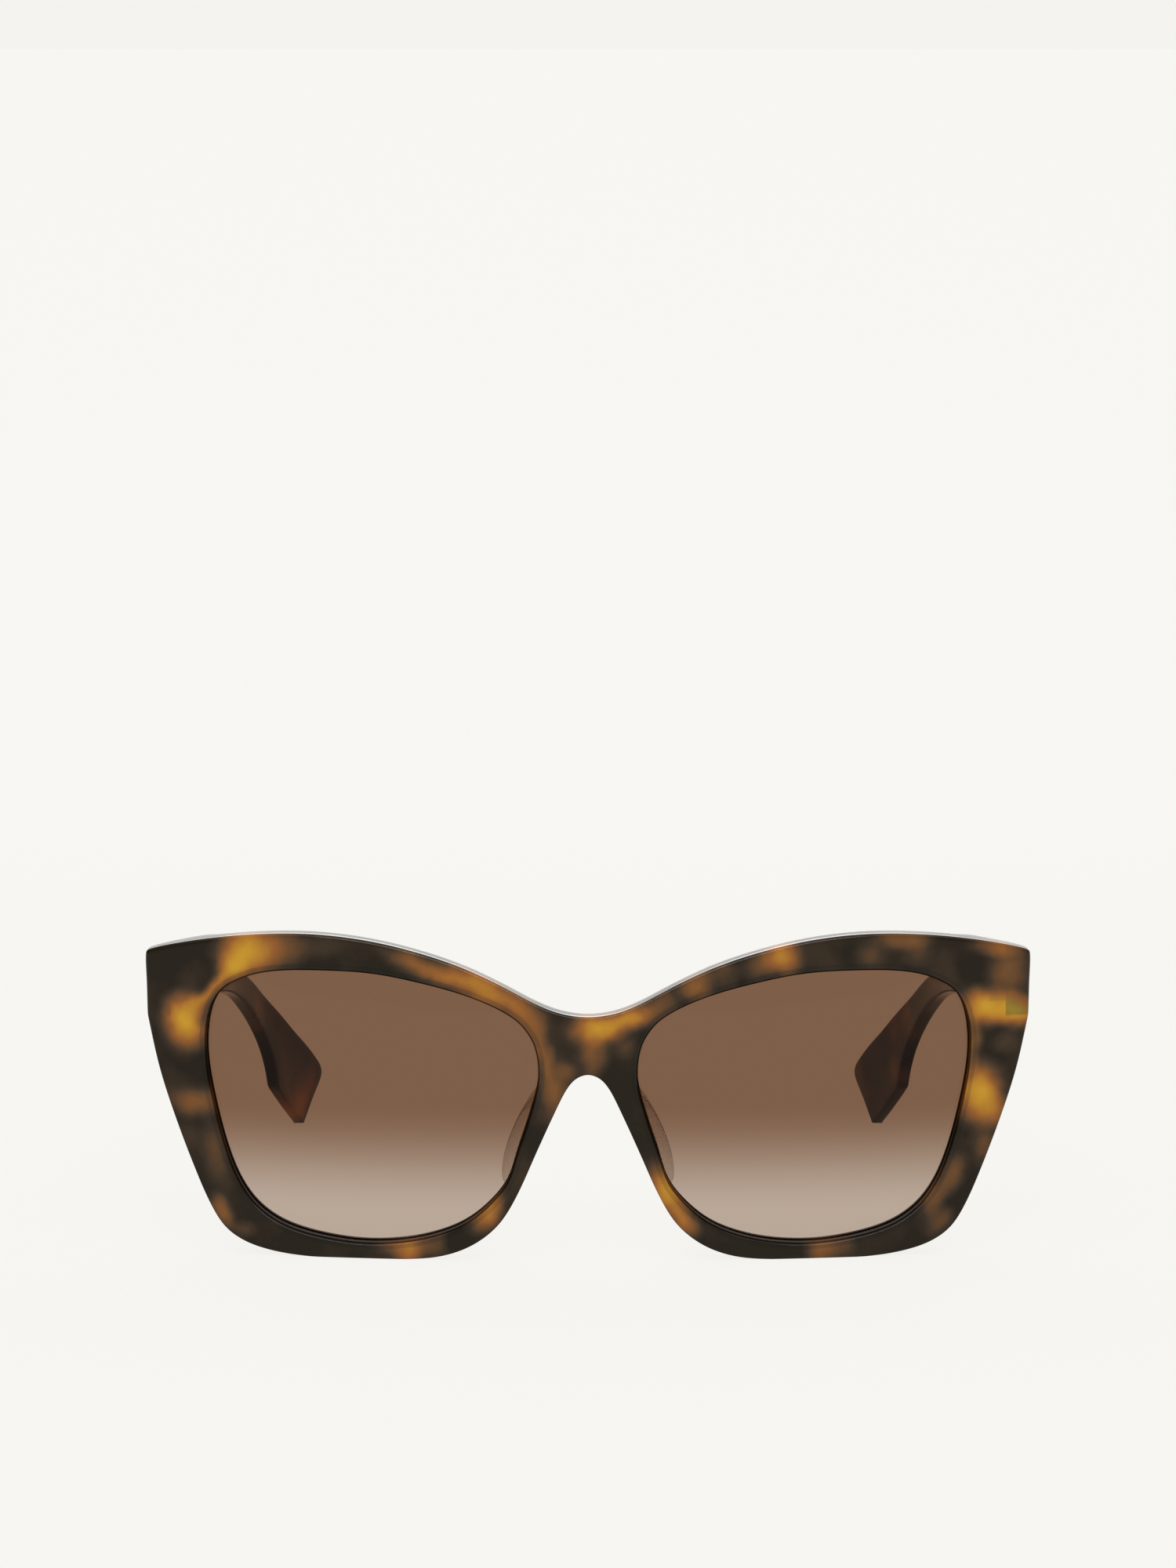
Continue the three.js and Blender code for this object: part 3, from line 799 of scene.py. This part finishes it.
def rim_outlines():
    """The outer edge of the half front, the lens opening, and the stations on the centre plane."""
    outer = [p for p, _ in EDGE_PAIRS]
    flip = lambda p: (-p[0], p[1])
    run = [flip(outer[2]), flip(outer[1]), *outer, flip(outer[-2]), flip(outer[-3])]
    whole = through_points(run, STATIONS)
    whole = relaxed(whole, 4, False)
    edge = whole[2 * STATIONS : len(whole) - 2 * STATIONS]
    edge[:, 1] = np.maximum(edge[:, 1], 0)
    edge[[0, -1], 0] = 0
    opening = through_points([p for _, p in (*EDGE_PAIRS, *BRIDGE_PAIRS)], STATIONS, True)
    return edge, relaxed(opening, 4, True)


def at_depth(outline, depth):
    """Rows of (x, depth, z) from an outline and its depths."""
    return np.column_stack([outline[:, 0], depth, outline[:, 1]])


def chamfer(size):
    """A bevelled edge from the face to the wall, as (inset, drop), with its two corners eased."""
    ease = ((0, 0), (0.09, 0.02), (0.16, 0.07))
    return [(size - a, b) for a, b in ease] + [(b, size - a) for a, b in reversed(ease)]


def quarter(count):
    return [k * math.pi / 2 / count for k in range(count + 1)]


def front_mesh():
    look = settings().front
    edge, opening = rim_outlines()
    skin = Skin()

    radius = look.low_edge + (look.edge - look.low_edge) * smoothstep(edge[:, 1], 25, 48)
    inset = sideways(edge, -radius, False)
    middle = [(0, inset[-1][1]), *(p for p, _ in BRIDGE_PAIRS), (0, inset[0][1])]
    bridge = through_points(middle, STATIONS)[1:-1]
    outside = np.vstack([inset, bridge])
    groove_from, groove_to, groove_deep = RIM_GROOVE
    over_groove = sideways(opening, groove_deep + 0.4, True)
    lip = sideways(opening, look.lip, True)
    across = [outside + (over_groove - outside) * k / 8 for k in range(9)]
    face = lambda row: front_depth(row[:, 0])
    back = lambda row: back_depth(row[:, 0], row[:, 1])
    for surface in (face, back):
        skin.bands([at_depth(row, surface(row)) for row in across], True)
        # Finish 1 is the band over the groove, with its painted shade.
        skin.bands([at_depth(row, surface(row)) for row in (over_groove, lip)], True, 1)

    bevel = chamfer(look.lip)
    inside = [sideways(opening, inset, True) for inset, _ in bevel]
    front_bevel = [at_depth(row, face(row) + drop) for row, (_, drop) in zip(inside, bevel)]
    back_bevel = [at_depth(row, back(row) - drop) for row, (_, drop) in zip(inside, bevel)][::-1]
    grooved = sideways(opening, groove_deep, True)
    wall = [
        front_bevel[-1],
        at_depth(opening, face(opening) + groove_from), at_depth(grooved, face(grooved) + groove_from),
        at_depth(grooved, face(grooved) + groove_to), at_depth(opening, face(opening) + groove_to),
        back_bevel[0]]
    # From here the inner part of the front bevel and the wall take the cut acetate, dark with painted shade.
    polished_to = 0.65 * front_bevel[2] + 0.35 * front_bevel[3]
    skin.bands([*front_bevel[:3], polished_to], True)
    skin.bands([polished_to, *front_bevel[3:]], True, 2)
    skin.bands(wall, True, 2)
    skin.bands(back_bevel, True)

    rows = []
    for turn in quarter(6):
        row = sideways(edge, -radius * (1 - math.sin(turn)), False)
        rows.append(at_depth(row, face(row) + radius * (1 - math.cos(turn))))
    for turn in reversed(quarter(6)):
        row = sideways(edge, -radius * (1 - math.sin(turn)), False)
        rows.append(at_depth(row, back(row) - radius * (1 - math.cos(turn))))
    skin.bands(rows, False)
    return skin.mesh("front_frame", both=True)


FRONT_PLATE = ((64.9, SEAT - 1.3, 41.9), (69.0, SEAT + 0.04, 48.7))
TEMPLE_PLATE = ((69.0, 16.2, 42.4), (70.2, 25.0, 47.1))


def pocket(name, plate, open_towards, side):
    """The cut for a sunk plate, tight round it and open on one side."""
    low = [v - (2.0 if t < 0 else 0.03) for v, t in zip(plate[0], open_towards)]
    high = [v + (2.0 if t > 0 else 0.03) for v, t in zip(plate[1], open_towards)]
    return block(name, low, high, side)


LENS_FACE = 0.99  # share of the opening that a lens face fills before its edge runs into the groove


def lens_mesh(side):
    look = settings().lens
    skin = Skin()
    _, opening = rim_outlines()
    centre = np.array(LENS_CENTRE)
    groove_from, groove_to, groove_deep = RIM_GROOVE
    set_back = (groove_from + groove_to - look.thickness) / 2
    rows = []
    tongue = sideways(opening, groove_deep - 0.15, True)
    shares = [LENS_FACE * math.sin(turn) for turn in quarter(20)[1:]]
    for back in (False, True):
        face = []
        for share in shares:
            row = centre + (opening - centre) * share
            depth = front_depth(row[:, 0]) + set_back - look.bulge * (1 - share**2)
            face.append(at_depth(row, depth + (look.thickness if back else 0)))
        rows += face[::-1] if back else face
        if not back:
            rows.append(at_depth(tongue, front_depth(tongue[:, 0]) + groove_from + 0.1))
            rows.append(at_depth(tongue, front_depth(tongue[:, 0]) + groove_to - 0.1))
    skin.bands(rows, True)
    skin.fill(rows[0])
    skin.fill(rows[-1])
    return skin.mesh(f"lens_{'right' if side < 0 else 'left'}", side)


# ---------------------------------------------------------------- nose pads

PAD = {"x": 9.3, "z": 20.6, "slope": -0.39, "splay": 0.42, "half": 1.5, "deep": 6.0, "tall": 9.0}


def pad_mesh(side):
    """A leaf-shaped pad: rounded along its bearing edge, and bonded to the back of the rim."""
    skin = Skin()
    rows = []
    levels = 48
    for k in range(1, levels):
        turn = math.pi * k / levels
        up = PAD["tall"] * math.cos(turn)
        reach = math.sin(turn) ** 0.9
        deep = PAD["deep"] * reach * (1 - 0.12 * math.cos(turn))
        half = PAD["half"] * math.sin(turn) ** 0.6
        row = []
        for a in np.linspace(0, math.pi, 33):
            side_way = math.copysign(abs(math.cos(a)) ** 0.75, math.cos(a)) * half
            out = math.sin(a) ** 0.8 * deep
            x = PAD["x"] + PAD["slope"] * up + side_way + PAD["splay"] * out
            z = PAD["z"] + up
            row.append((x, back_depth(x, z) - 0.25 + out, z))
        rows.append(row)
    skin.bands(rows, True)
    skin.fill(rows[0])
    skin.fill(rows[-1])
    return skin.mesh("nose_pad", side)


# ---------------------------------------------------------------- temples


TEMPLE_AT_BUTT = 69.5  # x of the inner face
TOE_IN = 0.045  # mm inwards for each mm back
BEND_FROM, BEND = 88, 0.0031  # depth where the temple starts to bend inwards, and how fast it does
LEAN_FROM, LEAN, LEAN_ABOUT = 115, 0.09, 7  # the tip's lean, in mm for each mm from that height
TAPER, TIP_TAPER = 0.0115, 0.4  # loss of thickness for each mm back, and more of it at the tip


def temple_inner(depth, z):
    """The inner face curves in towards the tip, and leans in at the top there."""
    lean = LEAN * smoothstep(depth, LEAN_FROM, 140) * (LEAN_ABOUT - z)
    bend = BEND * np.maximum(0, depth - BEND_FROM) ** 2
    return TEMPLE_AT_BUTT - TOE_IN * (depth - SEAT) - bend + lean


def temple_thickness(depth):
    tip = TIP_TAPER * smoothstep(depth, 105, 140)
    return settings().temple.thickness - TAPER * (depth - SEAT) - tip


def temple_ring(upper, lower, round_by):
    """A cross-section with rounded corners between an upper and a lower edge point."""
    span = np.linalg.norm(upper - lower)
    radius = min(round_by, 0.4 * span)
    turns = quarter(5)
    ends = [(radius * (1 - math.cos(t)), radius * (1 - math.sin(t))) for t in turns]
    middle = np.linspace(radius, span - radius, 9)[1:-1]
    up = [*ends, *((m, 0.0) for m in middle), *((span - along, inset) for along, inset in reversed(ends))]
    ring = []
    for along, inset in up:
        depth, z = lower + (upper - lower) * along / span
        ring.append((temple_inner(depth, z) + inset, depth, z))
    for along, inset in reversed(up):
        depth, z = lower + (upper - lower) * along / span
        ring.append((temple_inner(depth, z) + temple_thickness(depth) - inset, depth, z))
    return ring


def temple_mesh(side):
    skin = Skin()
    upper, lower = (
        relaxed(through_points([pair[k] for pair in TEMPLE_PAIRS], 8), 3, False) for k in (0, 1))
    rings = [temple_ring(u, l, settings().temple.edge) for u, l in zip(upper, lower)]
    skin.bands(rings, True)
    skin.fill(rings[0])
    skin.fill(rings[-1])
    return skin.mesh("temple", side)


# ---------------------------------------------------------------- hinges


BORE, SHANK, HEAD = 0.66, 0.6, 1.25  # radii of the hinge's bore and of its screw


def knuckle(name, index, neck, side, radius):
    """A round eye on the axis with a neck that runs to its plate."""
    low = STACK_LOW + index * SLOT + PLAY
    high = low + SLOT - 2 * PLAY
    eye = turned(name, ((0, low), (radius, low), (radius, high), (0, high)), side)
    bar = block(name, (neck[0][0], neck[0][1], low), (neck[1][0], neck[1][1], high), side)
    return joined(name, eye, [bar], "UNION")


def hinge_half(name, plate, indices, neck, side):
    look = settings().hardware
    body = block(name, plate[0], plate[1], side, 0.25)
    knuckles = [knuckle(name, index, neck, side, look.barrel) for index in indices]
    body = joined(name, body, knuckles, "UNION")
    foot, top = STACK_LOW - 1, STACK_LOW + 7.4
    bore = ((0, foot), (BORE, foot), (BORE, top), (0, top))
    body = joined(name, body, [turned(name, bore, side)], "DIFFERENCE")
    return with_modifiers(name, body, [
        ("BEVEL", {"width": look.bevel * MM, "segments": 2, "limit_method": "ANGLE",
                   "angle_limit": math.radians(40), "use_clamp_overlap": True}),
    ])


def screw_mesh(side):
    """A cheese-head hinge screw with a straight slot."""
    top = STACK_LOW + 5 * SLOT
    profile = (
        (0, STACK_LOW + 0.1), (SHANK - 0.1, STACK_LOW + 0.1), (SHANK, STACK_LOW + 0.2), (SHANK, top + 0.06),
        (HEAD - 0.12, top + 0.06), (HEAD, top + 0.14), (HEAD, top + 0.45), (HEAD - 0.13, top + 0.6),
        (0.7, top + 0.66), (0, top + 0.68))
    body = turned("hinge_screw", profile, side)
    slot = block(
        "slot", (AXIS[0] - 2, AXIS[1] - 0.16, top + 0.38), (AXIS[0] + 2, AXIS[1] + 0.16, top + 2), side)
    return joined("hinge_screw", body, [slot], "DIFFERENCE")


# ---------------------------------------------------------------- operators


class SUNGLASSES_OT_front(bpy.types.Operator):
    """Mill the acetate front, with its lens grooves and hinge pockets"""

    bl_idname = "sunglasses.front"
    bl_label = "Front"

    def execute(self, context):
        cuts = [pocket("pocket", FRONT_PLATE, (0, 1, 0), side) for _, side in SIDES]
        data = joined("front_frame_fine", front_mesh(), cuts, "DIFFERENCE")
        place_piece(
            "front_frame_fine", data, "front",
            [front_acetate(), groove_shaded_acetate(), shaded_cut_acetate()], ["front_frame"])
        return {"FINISHED"}


class SUNGLASSES_OT_lenses(bpy.types.Operator):
    """Cut the two lenses and set them in their grooves"""

    bl_idname = "sunglasses.lenses"
    bl_label = "Lenses"

    def execute(self, context):
        tint = lens_tint()
        for word, side in SIDES:
            place_piece(f"lens_{word}_fine", lens_mesh(side), "front", [tint], [f"lens_{word}"])
        return {"FINISHED"}


class SUNGLASSES_OT_nose_pads(bpy.types.Operator):
    """Bond the two nose pads to the back of the front"""

    bl_idname = "sunglasses.nose_pads"
    bl_label = "Nose Pads"

    def execute(self, context):
        clear = clear_acetate()
        for word, side in SIDES:
            place_piece(
                f"nose_pad_{word}_fine", pad_mesh(side), "front", [clear],
                [f"nose_pad_{word}"])
        return {"FINISHED"}


class SUNGLASSES_OT_temples(bpy.types.Operator):
    """Shape the two temples, with a pocket for the hinge plate in each"""

    bl_idname = "sunglasses.temples"
    bl_label = "Temples"

    def execute(self, context):
        for word, side in SIDES:
            cut = pocket("pocket", TEMPLE_PLATE, (-1, 0, 0), side)
            data = joined(f"temple_{word}_fine", temple_mesh(side), [cut], "DIFFERENCE")
            place_piece(
                f"temple_{word}_fine", data, f"temple_{word}", [temple_acetate(word)],
                [f"temple_{word}"])
        return {"FINISHED"}


class SUNGLASSES_OT_hinges(bpy.types.Operator):
    """Make the five-barrel hinges: three knuckles on the front and two on each temple"""

    bl_idname = "sunglasses.hinges"
    bl_label = "Hinges"

    def execute(self, context):
        silver = metal("nickel_silver", (0.66, 0.63, 0.58), 0.3, (1, 1, 6))
        x, depth = AXIS
        radius = settings().hardware.barrel
        for word, side in SIDES:
            for part, body, plate, indices, neck in (
                ("front_hinge", "front", FRONT_PLATE, (0, 2, 4),
                 ((x - radius, SEAT - 0.3), (x + radius, depth))),
                ("temple_hinge", f"temple_{word}", TEMPLE_PLATE, (1, 3),
                 ((x, depth - 0.4), (TEMPLE_PLATE[0][0] + 0.3, depth + radius))),
            ):
                name = f"{part}_{word}_fine"
                data = hinge_half(name, plate, indices, neck, side)
                place_piece(name, data, body, [silver], [f"{part}_{word}"])
        return {"FINISHED"}


class SUNGLASSES_OT_screws(bpy.types.Operator):
    """Put a slotted screw through each hinge"""

    bl_idname = "sunglasses.screws"
    bl_label = "Hinge Screws"

    def execute(self, context):
        bright = metal("screw_steel", (0.72, 0.71, 0.69), 0.24, (1, 1, 1))
        for word, side in SIDES:
            place_piece(
                f"hinge_screw_{word}_fine", screw_mesh(side), "front", [bright],
                [f"hinge_screw_{word}"])
        return {"FINISHED"}


class SUNGLASSES_OT_core_wires(bpy.types.Operator):
    """Finish the steel core wires inside the temples"""

    bl_idname = "sunglasses.core_wires"
    bl_label = "Core Wires"

    def execute(self, context):
        drawn = metal("drawn_steel", (0.6, 0.59, 0.57), 0.34, (1, 0.1, 1))
        for word, _ in SIDES:
            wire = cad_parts[f"core_wire_{word}"]
            for slot in wire.material_slots:
                slot.material = drawn
        return {"FINISHED"}


CAMERA_BACK = 636.8  # mm in front of the bridge
CAMERA_HIGH = 128.8  # mm above the floor
CAMERA_PITCH = 4.512  # degrees down
CAMERA_LENS = 90.3
IMAGE_TALL = 36.0
FLOOR_GLOW, FLOOR_BOUNCE = 0.93, 0.05  # the floor's own light, and the share of light it returns


class SUNGLASSES_OT_stage(bpy.types.Operator):
    """Lay the pale floor and sweep, hang the softboxes and set up the camera"""

    bl_idname = "sunglasses.stage"
    bl_label = "Stage"

    def execute(self, context):
        self.floor()
        self.lights()
        self.camera(context)
        context.scene.view_settings.view_transform = "Standard"
        return {"FINISHED"}

    def floor(self):
        """A floor that sweeps up into a wall behind."""
        radius, back, high, wide, near = 0.8, 1.6, 3.0, 4.0, -2.0
        profile = [(near, 0.0), (back - radius, 0.0)]
        for k in range(1, 17):
            turn = math.pi / 2 * k / 16
            profile.append((back - radius + radius * math.sin(turn), radius * (1 - math.cos(turn))))
        profile.append((back, high))
        data = bpy.data.meshes.new("floor_sweep")
        points = [(x, y, z) for y, z in profile for x in (-wide, wide)]
        faces = [(2 * i, 2 * i + 1, 2 * i + 3, 2 * i + 2) for i in range(len(profile) - 1)]
        data.from_pydata(points, [], faces)
        data.shade_smooth()
        sweep = bpy.data.objects.new("floor_sweep", data)
        bpy.context.scene.collection.objects.link(sweep)
        shader = Shader("pale_floor")
        colour = tuple(settings().stage.floor)
        glow = shader.add("ShaderNodeEmission", None, {"Color": (*colour, 1), "Strength": FLOOR_GLOW})
        returned = tuple(FLOOR_BOUNCE * c for c in colour)
        matt = shader.add("ShaderNodeBsdfDiffuse", None, {"Color": (*returned, 1)})
        data.materials.append(shader.finish(shader.add("ShaderNodeAddShader", None, {0: glow, 1: matt})))

    def lights(self):
        look = settings().stage
        for name, power, size, place, aim in (
            ("top_softbox", look.top_light, (1.6, 1.2), (0, -0.25, 1.15), (0, 0, 0)),
            ("back_softbox", look.back_light, (2.4, 0.9), (0, 1.25, 0.75), (0, 0, 0.05)),
            ("front_softbox", look.front_light, (1.2, 0.4), (0, -1.3, 1.2), (0, 0, 0)),
        ):
            lamp = bpy.data.lights.new(name, "AREA")
            lamp.shape = "RECTANGLE"
            lamp.size, lamp.size_y = size
            lamp.energy = power
            holder = bpy.data.objects.new(name, lamp)
            holder.location = place
            holder.rotation_euler = (Vector(aim) - Vector(place)).to_track_quat("-Z", "Y").to_euler()
            holder.visible_camera = False
            bpy.context.scene.collection.objects.link(holder)
        bpy.context.scene.world = self.air()

    def air(self):
        """The studio round the object: pale to look at, dim as a light, and darkest at the two sides."""
        shader = Shader("studio_air", "worlds")
        colour = (*settings().stage.floor, 1)
        direction = shader.add("ShaderNodeTexCoord", output="Generated")
        across = shader.add("ShaderNodeSeparateXYZ", None, {"Vector": direction}, "X")
        across = shader.add("ShaderNodeMath", {"operation": "ABSOLUTE"}, {0: across})
        sides = shader.smooth(across, 0.55, 0.95)
        ahead, beside, pale = (
            shader.add("ShaderNodeBackground", None, {"Color": colour, "Strength": strength})
            for strength in (0.6, 0.05, 1.0))
        dim = shader.add("ShaderNodeMixShader", None, {0: sides, 1: ahead, 2: beside})
        seen = shader.add("ShaderNodeLightPath", output="Is Camera Ray")
        choice = shader.add("ShaderNodeMixShader", None, {0: seen, 1: dim, 2: pale})
        return shader.finish(choice, "ShaderNodeOutputWorld")

    def camera(self, context):
        data = bpy.data.cameras.new("camera")
        data.sensor_fit = "VERTICAL"
        data.sensor_height = IMAGE_TALL
        data.lens = CAMERA_LENS
        data.clip_start = 0.01
        camera = bpy.data.objects.new("camera", data)
        camera.location = (0, (FRONT_PLANE - CAMERA_BACK) * MM, CAMERA_HIGH * MM)
        camera.rotation_euler = (math.radians(90 - CAMERA_PITCH), 0, 0)
        context.scene.collection.objects.link(camera)
        context.scene.camera = camera


class SUNGLASSES_PT_panel(bpy.types.Panel):
    """Sizes, colours and build steps of the sunglasses"""

    bl_idname = "SUNGLASSES_PT_panel"
    bl_label = "Cat Eye Sunglasses"
    bl_space_type = "VIEW_3D"
    bl_region_type = "UI"
    bl_category = "Sunglasses"

    def draw(self, context):
        groups = context.scene.sunglasses
        for name in ("acetate", "front", "lens", "temple", "hardware", "stage"):
            box = self.layout.box()
            box.label(text=name.title())
            group = getattr(groups, name)
            for prop in group.__annotations__:
                box.prop(group, prop)
        for operator in OPERATORS:
            self.layout.operator(operator.bl_idname)


OPERATORS = (
    SUNGLASSES_OT_stage,
    SUNGLASSES_OT_front,
    SUNGLASSES_OT_lenses,
    SUNGLASSES_OT_nose_pads,
    SUNGLASSES_OT_temples,
    SUNGLASSES_OT_hinges,
    SUNGLASSES_OT_screws,
    SUNGLASSES_OT_core_wires,
)
CLASSES = (
    AcetateSettings, FrontSettings, LensSettings, TempleSettings, HardwareSettings, StageSettings,
    SunglassesSettings, *OPERATORS, SUNGLASSES_PT_panel,
)


def register():
    for cls in CLASSES:
        bpy.utils.register_class(cls)
    bpy.types.Scene.sunglasses = PointerProperty(type=SunglassesSettings)


def unregister():
    del bpy.types.Scene.sunglasses
    for cls in reversed(CLASSES):
        bpy.utils.unregister_class(cls)


def main():
    register()
    for operator in OPERATORS:
        group, name = operator.bl_idname.split(".")
        getattr(getattr(bpy.ops, group), name)()


if __name__ == "__main__":
    main()
